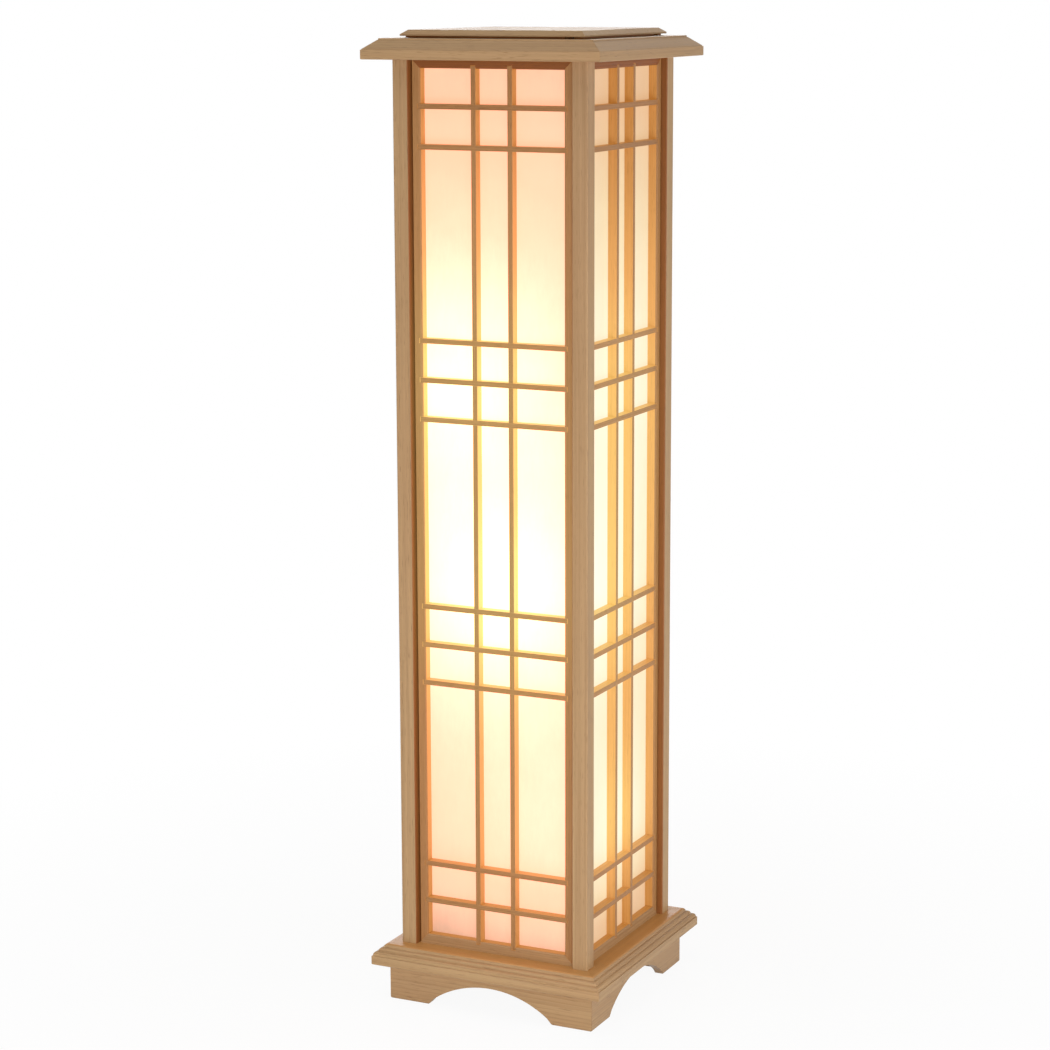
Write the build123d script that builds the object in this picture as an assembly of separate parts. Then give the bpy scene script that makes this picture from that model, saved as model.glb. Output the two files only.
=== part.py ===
from build123d import *
import math
import os

# Andon floor lamp: a square wooden cabinet with lattice screens, on a bracket foot, under a lift-off lid.
# Millimetres, +Z up, origin on the floor under the middle of the lamp. The front faces -Y.
# Every part that repeats on the four sides is made once for the front and turned about Z.

# ---- driving dimensions -------------------------------------------------------------------------
SIDES = ("front", "right", "back", "left")
CORNERS = ("front_left", "front_right", "back_right", "back_left")
BODY = 212.0  # across the outer faces of the posts
HEIGHT = 1000.0
EASE = 0.2  # gap left round a piece that is dropped into place
OVER = 1.0  # cutting shapes run this far past the faces they cut

# bracket foot
APRON_OUT = 115.6  # half width over the aprons
APRON_THICK = 10.0
APRON_TOP = 39.0
APRON_ARRIS = 1.0
ARCH_FOOT = 71.0  # half width of the arch where it meets the floor
ARCH_SPRING = (65.0, 6.5)  # where the short slope turns into the arc
ARCH_CROWN = 27.7
GLUE_BLOCK = 25.0
GLUE_BLOCK_CUT = 10.0  # taken off the block's free corner
GLUE_BLOCK_FOOT = 2.0  # the blocks stop this far above the floor

# base moulding
BASE_OUT = 130.0
BASE_ARRIS = 0.8
BASE_BAND_TOP = 48.5
QUIRK = 0.8  # height of the small sunk line above the band
QUIRK_DEEP = 1.2
REEDS = 3
REED_STEP = 0.6  # flat between one reed and the next
BASE_TOP = 60.1
BASE_IN = 86.0
LEDGE_IN = 76.0  # the ledge that carries the bottom board
LEDGE_TOP = 46.0
BOARD_TOP = 58.0

# posts
POST = 17.0
POST_ARRIS = 0.8
POST_TOP = 973.5
TENON = 9.0
TENON_LONG = 8.0
TENON_ROOM = 0.05  # all round the tenon in its mortise
TENON_SHORT = 0.3  # the tenon stops this far off the mortise's end

# screens
SCREEN_SET_BACK = 6.0  # behind the post faces
SCREEN_THICK = 11.0
MEMBER = 10.7  # width of stiles and rails
REVEAL = 2.0  # width of the shadow groove between stile and post
REVEAL_DEEP = 5.0
INNER_ARRIS = 1.2
RABBET = 3.0
HOUSING = 3.4  # depth of the slots that take the lattice ends

# lattice
BAR = 5.2
BAR_DEEP = 9.8
BAR_TAIL = 3.0  # length let into the frame
PANE = 34.6  # side of a square pane
RAIL_GROUPS = (2, 3, 3, 2)  # rails a pane apart, from the foot up, with a tall pane between groups

# beads that hold the diffuser sheet
BEAD_WIDE = 9.0
BEAD_THICK = 5.0
BEAD_BEVEL = 1.5

# roof moulding
ROOF_OUT = 129.2
ROOF_UNDER = 971.5
ROOF_ARRIS = 0.6
ROOF_BAND_TOP = 981.0
ROOF_QUIRK = (1.0, 0.7)  # depth and height of the sunk line above the band
ROOF_SLOPE_END = (116.6, 990.4)
ROOF_STEP = 0.6
ROOF_STEP_ARRIS = 0.4
ROOF_TOP = 992.0
ROOF_IN = 72.0
ROOF_SEAT = 0.3  # room round the posts in the roof's rebate

# lid
LID_HALF = 100.3
LID_UNDER = 994.0
LID_EDGE_TOP = 995.6
LID_FLAT_HALF = 94.0
LID_ARRIS = 0.3
NECK_HALF = 96.0
NECK_WIDE = 9.0
NECK_VENT = 10.0  # left open between the end of one strip and the next
LID_BATTEN = (11.0, 132.0, 16.0)  # width, length and height
LID_BATTEN_SHY = 1.0  # clear of the roof's throat
LID_BATTEN_LEAD_IN = 2.5

# light batten; the lights' names, directions from the batten, and heights of the lampholders' feet
BATTEN = 22.0
BATTEN_TOP = 720.0
BATTEN_ARRIS = 1.5
GROOVE = (7.0, 8.5)  # width and depth of the wiring groove
FOOT_BLOCK = (11.0, 18.0)  # thickness and height
LIGHTS = (("upper", 180.0, 552.0), ("middle", 270.0, 342.0), ("lower", 0.0, 92.0))
BULB_OFF = 44.0

# lampholders and their brackets, heights counted from the lampholder's foot
BRACKET = 2.0
BRACKET_LEG = 26.0
BRACKET_WIDE = 20.0
BRACKET_SCREWS = (-21.0, -9.0)
BRACKET_HOLE_R = 3.6
SHELF_LONG = 56.0
HOLDER_FOOT_R = 16.0
HOLDER_FOOT_TOP = 12.0
HOLDER_SKIRT = 19.0
HOLDER_R = 20.0
HOLDER_TALL = 55.0
HOLDER_FLOOR = 22.0
HOLDER_ARRIS = 1.5
WIRE_HOLE = (3.5, 9.0)  # radius and depth
SLEEVE_R = 14.4
SLEEVE_WALL = 0.8
SLEEVE_TOP = 50.0
SLEEVE_ROOM = 0.1
CONTACT_R = 5.0
CONTACT_GAP = 0.3  # under the bulb's own contact

# bulbs, heights counted from the lampholder's foot
TIP_R = 3.5
TIP_FOOT = 24.5
TIP_RIM = (4.5, 0.8)  # radius and height of the solder bead
CAP_FOOT_R = 9.5
CAP_R = 13.1
CAP_FOOT = 27.0
CAP_SHOULDER = 2.5
CAP_COLLAR = 2.0
CAP_TOP = 49.0
GLASS_R = 30.0
GLASS_CENTRE = 98.0
GLASS_WALL = 0.8
GLASS_NECK = 13.4
GLASS_JOIN = 23.0  # degrees below its equator where the ball runs into the straight flank

# leads, terminal block and grommet
LEAD_R = 2.75
LEAD_BEND = 14.0
LEAD_Y = 7.5  # the lead that climbs the batten's groove
TAIL_DROP = 30.0  # each tail leaves the batten this far under its lampholder
TAIL_START = 1.5  # the tails begin this far past the batten's axis
TAIL_HOLE = (3.3, 4.0)  # radius, and how far past the axis the hole runs
LOWER_LEAD_TURN = 24.0  # Y where the lower light's lead leaves the terminal block's line
LOWER_LEAD_BENDS = (12.0, 11.0)
TERMINAL = (32.0, 16.0, 16.0)  # length, width and height
TERMINAL_Y = 44.0
WIRE_WAY = (10.0, 3.0)  # spacing and radius
CLAMP_WELL = (2.2, 3.5)  # radius and depth
CLIP = (18.0, 1.2, 10.0)  # width, thickness and height
CLIP_HEIGHTS = (150.0, 290.0, 430.0)
GROMMET_Y = 65.0
GROMMET_HOLE_R = 6.0
GROMMET_BORE = 3.5
GROMMET_NECK = 5.9
GROMMET_LIP = (9.0, 2.0)  # radius and thickness
GROMMET_ARRIS = (0.6, 1.0)  # across and along

# screws
SCREW_R = 1.5
PILOT_R = 1.6
PILOT_OVER = 0.5  # pilot holes run this far past the screw's end
BOARD_SCREW = 80.5  # the board's four screws stand at plus and minus this in X and Y
BOARD_SCREW_LONG = 17.0
BOARD_SCREW_HEAD = (4.1, 2.2)  # radius and height
BOARD_HOLE_R = 2.1
PAN_HEAD = (3.2, 1.8)  # radius and height
PAN_SCREW_LONG = 9.0
PAN_HOLE_R = 1.7

# ---- derived ------------------------------------------------------------------------------------
POST_OUT = BODY / 2
POST_IN = POST_OUT - POST
POST_MID = POST_OUT - POST / 2
FACE_Y = -(POST_OUT - SCREEN_SET_BACK)
BACK_Y = FACE_Y + SCREEN_THICK
SHEET_Y = FACE_Y + BAR_DEEP
OPEN_HALF = POST_IN - MEMBER
OPEN_LOW = BASE_TOP + MEMBER
OPEN_HIGH = POST_TOP - MEMBER
UPRIGHT_X = PANE / 2 + BAR / 2
RAILS = sum(RAIL_GROUPS)
SMALL_PANES = RAILS - len(RAIL_GROUPS) + 2
TALL_PANE = (OPEN_HIGH - OPEN_LOW - SMALL_PANES * PANE - RAILS * BAR) / (len(RAIL_GROUPS) - 1)
SCREEN_MID = (BASE_TOP + POST_TOP) / 2
FAR = 200.0  # beyond the lamp's half width, for cutting shapes
PROFILE_PLANE = Plane(origin=(0, 0, 0), x_dir=(0, -1, 0), z_dir=(-1, 0, 0))


def rail_heights():
    """Undersides of the lattice rails, from the foot up."""
    heights = []
    z = OPEN_LOW + PANE
    for count in RAIL_GROUPS:
        heights += [z + index * (PANE + BAR) for index in range(count)]
        z = heights[-1] + BAR + TALL_PANE
    return heights


RAIL_Z = rail_heights()


# ---- helpers ------------------------------------------------------------------------------------
def prism(points, plane, length):
    """A closed polygon on a plane, extruded half the length to each side of it."""
    outline = plane * make_face(Polyline(*points, close=True))
    return extrude(outline, amount=length / 2, both=True)


def column(points, low, high):
    """A closed polygon in plan, standing between two heights."""
    return Pos(0, 0, low) * extrude(make_face(Polyline(*points, close=True)), amount=high - low)


def box(x_range, y_range, z_range):
    """A box between its lowest and highest coordinates."""
    size = [high - low for low, high in (x_range, y_range, z_range)]
    middle = [(high + low) / 2 for low, high in (x_range, y_range, z_range)]
    return Pos(*middle) * Box(*size)


def rod(radius, x, y, low, high):
    """A round rod along Z between two heights."""
    return Pos(x, y, (low + high) / 2) * Cylinder(radius, high - low)


def side_rod(radius, z, start, end):
    """A round rod along X at a height."""
    return Pos((start + end) / 2, 0, z) * Rot(0, 90, 0) * Cylinder(radius, end - start)


def spun(points):
    """A closed half section of (radius, height) points, revolved about Z."""
    return revolve(Plane.XZ * make_face(Polyline(*points, close=True)), Axis.Z)


def turned(shape, side):
    """The front piece, turned to another side."""
    return Rot(0, 0, 90 * SIDES.index(side)) * shape


def mitred(face):
    """A moulding profile of (distance out, height), run along the front and mitred at both ends."""
    run = extrude(PROFILE_PLANE * face, amount=FAR, both=True)
    wedge = column([(0, 0), (-FAR, -FAR), (FAR, -FAR)], 0, HEIGHT)
    return run & wedge


def mortise(x, low, high):
    """The mortise at a front corner for the post's stub tenon."""
    half = TENON / 2 + TENON_ROOM
    return box((x - half, x + half), (-POST_MID - half, -POST_MID + half), (low, high))


def save(name, *solids):
    """Writes one node: one solid, or a group of separate solids."""
    parts = [solid for shape in solids for solid in shape.solids()]
    shape = parts[0] if len(parts) == 1 else Compound(children=parts)
    shape.label = name
    export_step(shape, f"parts/{name}.step")


# ---- bracket foot and base ----------------------------------------------------------------------
def apron():
    """One mitred apron with its low arch."""
    inner = APRON_OUT - APRON_THICK
    section = [(inner, 0), (APRON_OUT - APRON_ARRIS, 0), (APRON_OUT, APRON_ARRIS), (APRON_OUT, APRON_TOP),
               (inner, APRON_TOP)]
    board = mitred(make_face(Polyline(*section, close=True)))
    spring_x, spring_z = ARCH_SPRING
    edge = Polyline((-spring_x, spring_z), (-ARCH_FOOT, 0), (-ARCH_FOOT, -OVER), (ARCH_FOOT, -OVER),
                    (ARCH_FOOT, 0), (spring_x, spring_z))
    arc = ThreePointArc((spring_x, spring_z), (0, ARCH_CROWN), (-spring_x, spring_z))
    return board - extrude(Plane.XZ * make_face(edge + arc), amount=FAR)


def glue_blocks():
    """A block in each inner corner of the aprons, with its free corner taken off."""
    corner = APRON_OUT - APRON_THICK
    inner = corner - GLUE_BLOCK
    points = [(corner, -corner), (corner, -inner), (inner + GLUE_BLOCK_CUT, -inner),
              (inner, -inner - GLUE_BLOCK_CUT), (inner, -corner)]
    block = column(points, GLUE_BLOCK_FOOT, APRON_TOP)
    return [turned(block, side) for side in SIDES]


def base_moulding():
    """Band, quirk, then quarter-round reeds up to the top; a ledge inside carries the bottom board."""
    reed = (BASE_TOP - BASE_BAND_TOP - QUIRK) / REEDS
    out = BASE_OUT - QUIRK_DEEP
    z = BASE_BAND_TOP + QUIRK
    outline = Polyline((BASE_IN, BASE_TOP), (BASE_IN, LEDGE_TOP), (LEDGE_IN, LEDGE_TOP),
                       (LEDGE_IN, APRON_TOP), (BASE_OUT - BASE_ARRIS, APRON_TOP),
                       (BASE_OUT, APRON_TOP + BASE_ARRIS), (BASE_OUT, BASE_BAND_TOP),
                       (out, BASE_BAND_TOP), (out, z))
    for index in range(REEDS):
        end = (out - reed, z + reed)
        outline = outline + TangentArc((out, z), end, tangent=(0, 1))
        out = end[0] - REED_STEP if index < REEDS - 1 else BASE_IN
        z = end[1]
        outline = outline + Line(end, (out, z))
    moulding = mitred(make_face(outline))
    pilot_end = BOARD_TOP - BOARD_SCREW_LONG - PILOT_OVER
    for sign in (-1, 1):
        moulding -= mortise(sign * POST_MID, BASE_TOP - TENON_LONG, BASE_TOP)
        moulding -= rod(PILOT_R, sign * BOARD_SCREW, -BOARD_SCREW, pilot_end, LEDGE_TOP)
    return moulding


def bottom_board():
    """The board on the ledge, with its screw holes and the hole for the grommet."""
    half = BASE_IN - EASE
    head_r, head_tall = BOARD_SCREW_HEAD
    board = box((-half, half), (-half, half), (LEDGE_TOP, BOARD_TOP))
    sink = Pos(0, 0, BOARD_TOP - head_tall / 2) * Cone(BOARD_HOLE_R, head_r + EASE, head_tall)
    hole = sink + rod(BOARD_HOLE_R, 0, 0, LEDGE_TOP, BOARD_TOP)
    for place in GridLocations(2 * BOARD_SCREW, 2 * BOARD_SCREW, 2, 2):
        board -= place * hole
    return board - rod(GROMMET_HOLE_R, 0, GROMMET_Y, LEDGE_TOP, BOARD_TOP)


def board_screws():
    """Countersunk screws pointing down, their heads flush with the bottom board."""
    head_r, head_tall = BOARD_SCREW_HEAD
    head = Pos(0, 0, BOARD_TOP - head_tall / 2) * Cone(SCREW_R, head_r, head_tall)
    screw = head + rod(SCREW_R, 0, 0, BOARD_TOP - BOARD_SCREW_LONG, BOARD_TOP - head_tall)
    return [place * screw for place in GridLocations(2 * BOARD_SCREW, 2 * BOARD_SCREW, 2, 2)]


def grommet():
    """A rubber bush with a lip on each side of the bottom board."""
    lip_r, lip = GROMMET_LIP
    across, along = GROMMET_ARRIS
    section = [(GROMMET_BORE, LEDGE_TOP - lip), (lip_r - across, LEDGE_TOP - lip), (lip_r, LEDGE_TOP - along),
               (lip_r, LEDGE_TOP), (GROMMET_NECK, LEDGE_TOP), (GROMMET_NECK, BOARD_TOP), (lip_r, BOARD_TOP),
               (lip_r, BOARD_TOP + along), (lip_r - across, BOARD_TOP + lip), (GROMMET_BORE, BOARD_TOP + lip)]
    return Pos(0, GROMMET_Y, 0) * spun(section)


# ---- posts and screens --------------------------------------------------------------------------
def post():
    """The front left post, its long arrises eased, with a stub tenon at each end."""
    half = POST / 2
    near = half - POST_ARRIS
    points = [(half, near), (near, half), (-near, half), (-half, near), (-half, -near), (-near, -half),
              (near, -half), (half, -near)]
    reach = TENON_LONG - TENON_SHORT
    tenon = box((-TENON / 2, TENON / 2), (-TENON / 2, TENON / 2), (BASE_TOP - reach, POST_TOP + reach))
    return Pos(-POST_MID, -POST_MID, 0) * (column(points, BASE_TOP, POST_TOP) + tenon)


def lattice_slots():
    """Slots in the screen's frame that take the ends of the lattice bars."""
    deep = (FACE_Y - OVER, SHEET_Y)
    slots = []
    for z in RAIL_Z:
        for sign in (-1, 1):
            ends = sorted((sign * (OPEN_HALF - OVER), sign * (OPEN_HALF + HOUSING)))
            slots.append(box(ends, deep, (z, z + BAR)))
    for x in (-UPRIGHT_X, UPRIGHT_X):
        for ends in ((OPEN_LOW - HOUSING, OPEN_LOW + OVER), (OPEN_HIGH - OVER, OPEN_HIGH + HOUSING)):
            slots.append(box((x - BAR / 2, x + BAR / 2), deep, ends))
    return slots


def reveal_grooves():
    """Shadow grooves down the outer edges of the screen, beside the posts."""
    deep = (FACE_Y - OVER, FACE_Y + REVEAL_DEEP)
    edges = [sorted((sign * (POST_IN - REVEAL), sign * (POST_IN + OVER))) for sign in (-1, 1)]
    return [box(edge, deep, (BASE_TOP - OVER, POST_TOP + OVER)) for edge in edges]


def frame_member(length):
    """A length of the screen's frame lying along X, outer edge down, mitred at both ends."""
    section = [(FACE_Y, 0), (FACE_Y, MEMBER - INNER_ARRIS), (FACE_Y + INNER_ARRIS, MEMBER), (SHEET_Y, MEMBER),
               (SHEET_Y, MEMBER - RABBET), (BACK_Y, MEMBER - RABBET), (BACK_Y, 0)]
    half = length / 2
    ends = [(-half, 0), (half, 0), (half - MEMBER, MEMBER), (MEMBER - half, MEMBER)]
    return prism(section, Plane.YZ, length) & prism(ends, Plane.XZ, 2 * FAR)


def screen_frame():
    """Two rails and two stiles, mitred, slotted for the lattice and grooved beside the posts."""
    half_tall = (POST_TOP - BASE_TOP) / 2
    rail = Pos(0, 0, -half_tall) * frame_member(2 * POST_IN)
    stile = Pos(0, 0, -POST_IN) * frame_member(2 * half_tall)
    turns = ((rail, 0), (stile, 90), (rail, 180), (stile, 270))
    members = [Pos(0, 0, SCREEN_MID) * Rot(0, angle, 0) * member for member, angle in turns]
    for cut in lattice_slots() + reveal_grooves():
        members = [member - cut for member in members]
    return members


def lattice_uprights():
    """Two uprights, notched from the front to half their depth at every rail."""
    upright = box((-BAR / 2, BAR / 2), (FACE_Y, SHEET_Y), (OPEN_LOW - BAR_TAIL, OPEN_HIGH + BAR_TAIL))
    for z in RAIL_Z:
        upright -= box((-BAR, BAR), (FACE_Y - OVER, FACE_Y + BAR_DEEP / 2), (z, z + BAR))
    return [Pos(x, 0, 0) * upright for x in (-UPRIGHT_X, UPRIGHT_X)]


def lattice_rails():
    """Rails from stile to stile, notched from the back to half their depth at both uprights."""
    reach = OPEN_HALF + BAR_TAIL
    rail = box((-reach, reach), (FACE_Y, SHEET_Y), (0, BAR))
    for x in (-UPRIGHT_X, UPRIGHT_X):
        rail -= box((x - BAR / 2, x + BAR / 2), (FACE_Y + BAR_DEEP / 2, SHEET_Y + OVER), (-OVER, BAR + OVER))
    return [Pos(0, 0, z) * rail for z in RAIL_Z]


def diffuser():
    """The translucent sheet in the rabbet behind the lattice."""
    reach = RABBET - EASE
    half = OPEN_HALF + reach
    return box((-half, half), (SHEET_Y, BACK_Y), (OPEN_LOW - reach, OPEN_HIGH + reach))


def retaining_beads():
    """Four mitred beads behind the sheet, their inner back arris bevelled."""
    inside_y = BACK_Y + BEAD_THICK
    half_wide = -inside_y
    half_tall = (OPEN_HIGH - OPEN_LOW) / 2 + half_wide - OPEN_HALF
    section = [(BACK_Y, 0), (inside_y, 0), (inside_y, BEAD_WIDE - BEAD_BEVEL),
               (inside_y - BEAD_BEVEL, BEAD_WIDE), (BACK_Y, BEAD_WIDE)]
    beads = []
    for half, reach, angle in ((half_wide, half_tall, 0), (half_tall, half_wide, 90)):
        ends = [(-half, 0), (half, 0), (half - BEAD_WIDE, BEAD_WIDE), (BEAD_WIDE - half, BEAD_WIDE)]
        bead = Pos(0, 0, -reach) * (prism(section, Plane.YZ, 2 * half) & prism(ends, Plane.XZ, 2 * FAR))
        beads += [Pos(0, 0, SCREEN_MID) * Rot(0, turn, 0) * bead for turn in (angle, angle + 180)]
    return beads


# ---- roof and lid -------------------------------------------------------------------------------
def roof_moulding():
    """Eave: square band, quirk, slope and a small top step; rebated under for posts and screens."""
    seat = POST_OUT + ROOF_SEAT
    quirk_deep, quirk_tall = ROOF_QUIRK
    quirk_x = ROOF_OUT - quirk_deep
    slope_x, slope_z = ROOF_SLOPE_END
    step_x = slope_x - ROOF_STEP
    section = [(ROOF_IN, POST_TOP), (seat, POST_TOP), (seat, ROOF_UNDER), (ROOF_OUT - ROOF_ARRIS, ROOF_UNDER),
               (ROOF_OUT, ROOF_UNDER + ROOF_ARRIS), (ROOF_OUT, ROOF_BAND_TOP), (quirk_x, ROOF_BAND_TOP),
               (quirk_x, ROOF_BAND_TOP + quirk_tall), (slope_x, slope_z), (step_x, slope_z),
               (step_x, ROOF_TOP - ROOF_STEP_ARRIS), (step_x - ROOF_STEP_ARRIS, ROOF_TOP),
               (ROOF_IN, ROOF_TOP)]
    moulding = mitred(make_face(Polyline(*section, close=True)))
    for sign in (-1, 1):
        moulding -= mortise(sign * POST_MID, POST_TOP, POST_TOP + TENON_LONG)
    return moulding


def lid_board():
    """The lid's board with its bevelled edge."""
    section = [(0, LID_UNDER), (LID_HALF - LID_ARRIS, LID_UNDER), (LID_HALF, LID_UNDER + LID_ARRIS),
               (LID_HALF, LID_EDGE_TOP), (LID_FLAT_HALF, HEIGHT), (0, HEIGHT)]
    quarter = mitred(make_face(Polyline(*section, close=True)))
    board = quarter
    for side in SIDES[1:]:
        board += turned(quarter, side)
    return board


def neck_battens():
    """Four thin strips, laid in a pinwheel, that hold the lid's board off the roof with a vent at each."""
    ends = (-NECK_HALF, NECK_HALF - NECK_WIDE - NECK_VENT)
    strip = box(ends, (-NECK_HALF, -NECK_HALF + NECK_WIDE), (ROOF_TOP + EASE, LID_UNDER))
    return [turned(strip, side) for side in SIDES]


def lid_battens():
    """Two battens that drop into the roof's throat and keep the lid in place."""
    wide, long, tall = LID_BATTEN
    outer = ROOF_IN - LID_BATTEN_SHY
    foot = LID_UNDER - tall
    section = [(outer - wide, LID_UNDER), (outer, LID_UNDER), (outer, foot + LID_BATTEN_LEAD_IN),
               (outer - LID_BATTEN_LEAD_IN, foot), (outer - wide, foot)]
    batten = prism(section, Plane.XZ, long)
    return [batten, Rot(0, 0, 180) * batten]


# ---- light batten and its wiring ----------------------------------------------------------------
def light_batten():
    """The upright stick behind the bulbs, with a wiring groove at its back, screw and tail holes."""
    half = BATTEN / 2
    near = half - BATTEN_ARRIS
    groove_wide, groove_deep = GROOVE
    side = groove_wide / 2
    points = [(-half, -near), (-near, -half), (near, -half), (half, -near), (half, half), (side, half),
              (side, half - groove_deep), (-side, half - groove_deep), (-side, half), (-half, half)]
    stick = column(points, BOARD_TOP, BATTEN_TOP)
    pilot_end = half + BRACKET - PAN_SCREW_LONG - PILOT_OVER
    for _, angle, foot in LIGHTS:
        for height in BRACKET_SCREWS:
            stick -= Rot(0, 0, angle) * side_rod(PILOT_R, foot + height, pilot_end, half + OVER)
    hole_r, past_axis = TAIL_HOLE
    for _, angle, foot in LIGHTS[:2]:
        stick -= Rot(0, 0, angle) * side_rod(hole_r, foot - TAIL_DROP, -past_axis, half + OVER)
    return stick


def foot_blocks():
    """Two blocks glued beside the batten's foot on the bottom board."""
    thick, tall = FOOT_BLOCK
    half = BATTEN / 2
    heights = (BOARD_TOP, BOARD_TOP + tall)
    left = box((-half - thick, -half), (-half, half), heights)
    front = box((-half, half), (-half - thick, -half), heights)
    return [left, front]


def terminal_block():
    """A moulded block with three wire ways and three clamp screws' wells."""
    long, wide, tall = TERMINAL
    spacing, way_r = WIRE_WAY
    well_r, well_deep = CLAMP_WELL
    top = BOARD_TOP + tall
    block = box((-long / 2, long / 2), (TERMINAL_Y - wide / 2, TERMINAL_Y + wide / 2), (BOARD_TOP, top))
    for x in (-spacing, 0, spacing):
        block -= Pos(x, TERMINAL_Y, BOARD_TOP + tall / 2) * Rot(90, 0, 0) * Cylinder(way_r, wide + 2 * OVER)
        block -= rod(well_r, x, TERMINAL_Y, top - well_deep, top + OVER)
    return block


def lead(points, bends):
    """A round lead along straight runs joined by tangent arcs."""
    path = FilletPolyline(*points, radius=list(bends))
    start = Plane(origin=path @ 0, z_dir=path % 0)
    return sweep(start * Circle(LEAD_R), path=path)


def inner_leads():
    """The lead up the batten's groove, the two upper lights' tails, and the lower light's own lead."""
    level = BOARD_TOP + TERMINAL[2] / 2
    into_holder = WIRE_HOLE[1] - OVER
    climb_end = LIGHTS[0][2] - TAIL_DROP + LEAD_R
    leads = [lead([(0, TERMINAL_Y, level), (0, LEAD_Y, level), (0, LEAD_Y, climb_end)], [LEAD_BEND])]
    for _, angle, foot in LIGHTS[:2]:
        z = foot - TAIL_DROP
        route = [(-TAIL_START, 0, z), (BULB_OFF, 0, z), (BULB_OFF, 0, foot + into_holder)]
        leads.append(Rot(0, 0, angle) * lead(route, [LEAD_BEND]))
    way = WIRE_WAY[0]
    route = [(way, TERMINAL_Y, level), (way, LOWER_LEAD_TURN, level), (BULB_OFF, 0, level),
             (BULB_OFF, 0, LIGHTS[2][2] + into_holder)]
    leads.append(lead(route, LOWER_LEAD_BENDS))
    return leads


def lead_clips():
    """Saddles that hold the lead in the batten's groove."""
    wide, thick, tall = CLIP
    back = BATTEN / 2
    return [box((-wide / 2, wide / 2), (back, back + thick), (z, z + tall)) for z in CLIP_HEIGHTS]


# ---- lampholders and bulbs, made along +X from the batten ---------------------------------------
def bracket(foot):
    """An angle of steel strip: leg on the batten, shelf under the lampholder."""
    inner = BATTEN / 2
    outer = inner + BRACKET
    tip = inner + SHELF_LONG
    section = [(inner, foot - BRACKET_LEG), (outer, foot - BRACKET_LEG), (outer, foot - BRACKET),
               (tip, foot - BRACKET), (tip, foot), (inner, foot)]
    angle = prism(section, Plane.XZ, BRACKET_WIDE)
    for height in BRACKET_SCREWS:
        angle -= side_rod(PAN_HOLE_R, foot + height, inner - OVER, outer + OVER)
    return angle - rod(BRACKET_HOLE_R, BULB_OFF, 0, foot - BRACKET - OVER, foot + OVER)


def bracket_screws(foot):
    """Two pan-head screws through the bracket's leg."""
    head_r, head_tall = PAN_HEAD
    outer = BATTEN / 2 + BRACKET
    screws = []
    for height in BRACKET_SCREWS:
        head = side_rod(head_r, foot + height, outer, outer + head_tall)
        screws.append(head + side_rod(SCREW_R, foot + height, outer - PAN_SCREW_LONG, outer))
    return screws


def lampholder(foot):
    """The moulded body: foot, flared skirt, blind wire hole below and socket above."""
    hole_r, hole_deep = WIRE_HOLE
    socket_r = SLEEVE_R + SLEEVE_ROOM
    section = [(hole_r, 0), (HOLDER_FOOT_R - HOLDER_ARRIS, 0), (HOLDER_FOOT_R, HOLDER_ARRIS),
               (HOLDER_FOOT_R, HOLDER_FOOT_TOP), (HOLDER_R, HOLDER_SKIRT),
               (HOLDER_R, HOLDER_TALL - HOLDER_ARRIS), (HOLDER_R - HOLDER_ARRIS, HOLDER_TALL),
               (socket_r, HOLDER_TALL), (socket_r, HOLDER_FLOOR), (0, HOLDER_FLOOR), (0, hole_deep),
               (hole_r, hole_deep)]
    return Pos(BULB_OFF, 0, foot) * spun(section)


def lamp_contacts(foot):
    """The brass sleeve that takes the bulb's cap, and the centre contact on the socket's floor."""
    inner = SLEEVE_R - SLEEVE_WALL
    wall = [(inner, HOLDER_FLOOR), (SLEEVE_R, HOLDER_FLOOR), (SLEEVE_R, SLEEVE_TOP), (inner, SLEEVE_TOP)]
    sleeve = spun(wall)
    plate = rod(CONTACT_R, 0, 0, HOLDER_FLOOR, TIP_FOOT - CONTACT_GAP)
    return [Pos(BULB_OFF, 0, foot) * piece for piece in (sleeve, plate)]


def bulb_tip(foot):
    """The bulb's centre contact, with the glass bead round it."""
    rim_r, rim_tall = TIP_RIM
    section = [(0, TIP_FOOT), (TIP_R, TIP_FOOT), (rim_r, TIP_FOOT + rim_tall), (CAP_FOOT_R, CAP_FOOT),
               (0, CAP_FOOT)]
    return Pos(BULB_OFF, 0, foot) * spun(section)


def bulb_cap(foot):
    """The screw cap, drawn at its outer diameter, with the cement that fills it."""
    section = [(0, CAP_FOOT), (CAP_FOOT_R, CAP_FOOT), (CAP_R, CAP_FOOT + CAP_SHOULDER),
               (CAP_R, CAP_TOP - CAP_COLLAR), (GLASS_NECK, CAP_TOP), (0, CAP_TOP)]
    return Pos(BULB_OFF, 0, foot) * spun(section)


def glass_outline(inset):
    """Half outline of the bulb's envelope: short neck, straight flank and ball, drawn in by the wall."""
    radius = GLASS_R - inset
    neck = GLASS_NECK - inset
    low = CAP_TOP + inset
    below = math.radians(GLASS_JOIN)
    join = (radius * math.cos(below), GLASS_CENTRE - radius * math.sin(below))
    shoulder = (neck, join[1] - (join[0] - neck) / math.tan(below))
    top = (0, GLASS_CENTRE + radius)
    ball = ThreePointArc(join, (radius, GLASS_CENTRE), top)
    return make_face(Polyline(top, (0, low), (neck, low), shoulder, join) + ball)


def bulb_glass(foot):
    """The hollow glass envelope."""
    outer = revolve(Plane.XZ * glass_outline(0.0), Axis.Z)
    inner = revolve(Plane.XZ * glass_outline(GLASS_WALL), Axis.Z)
    return Pos(BULB_OFF, 0, foot) * (outer - inner)


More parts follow.
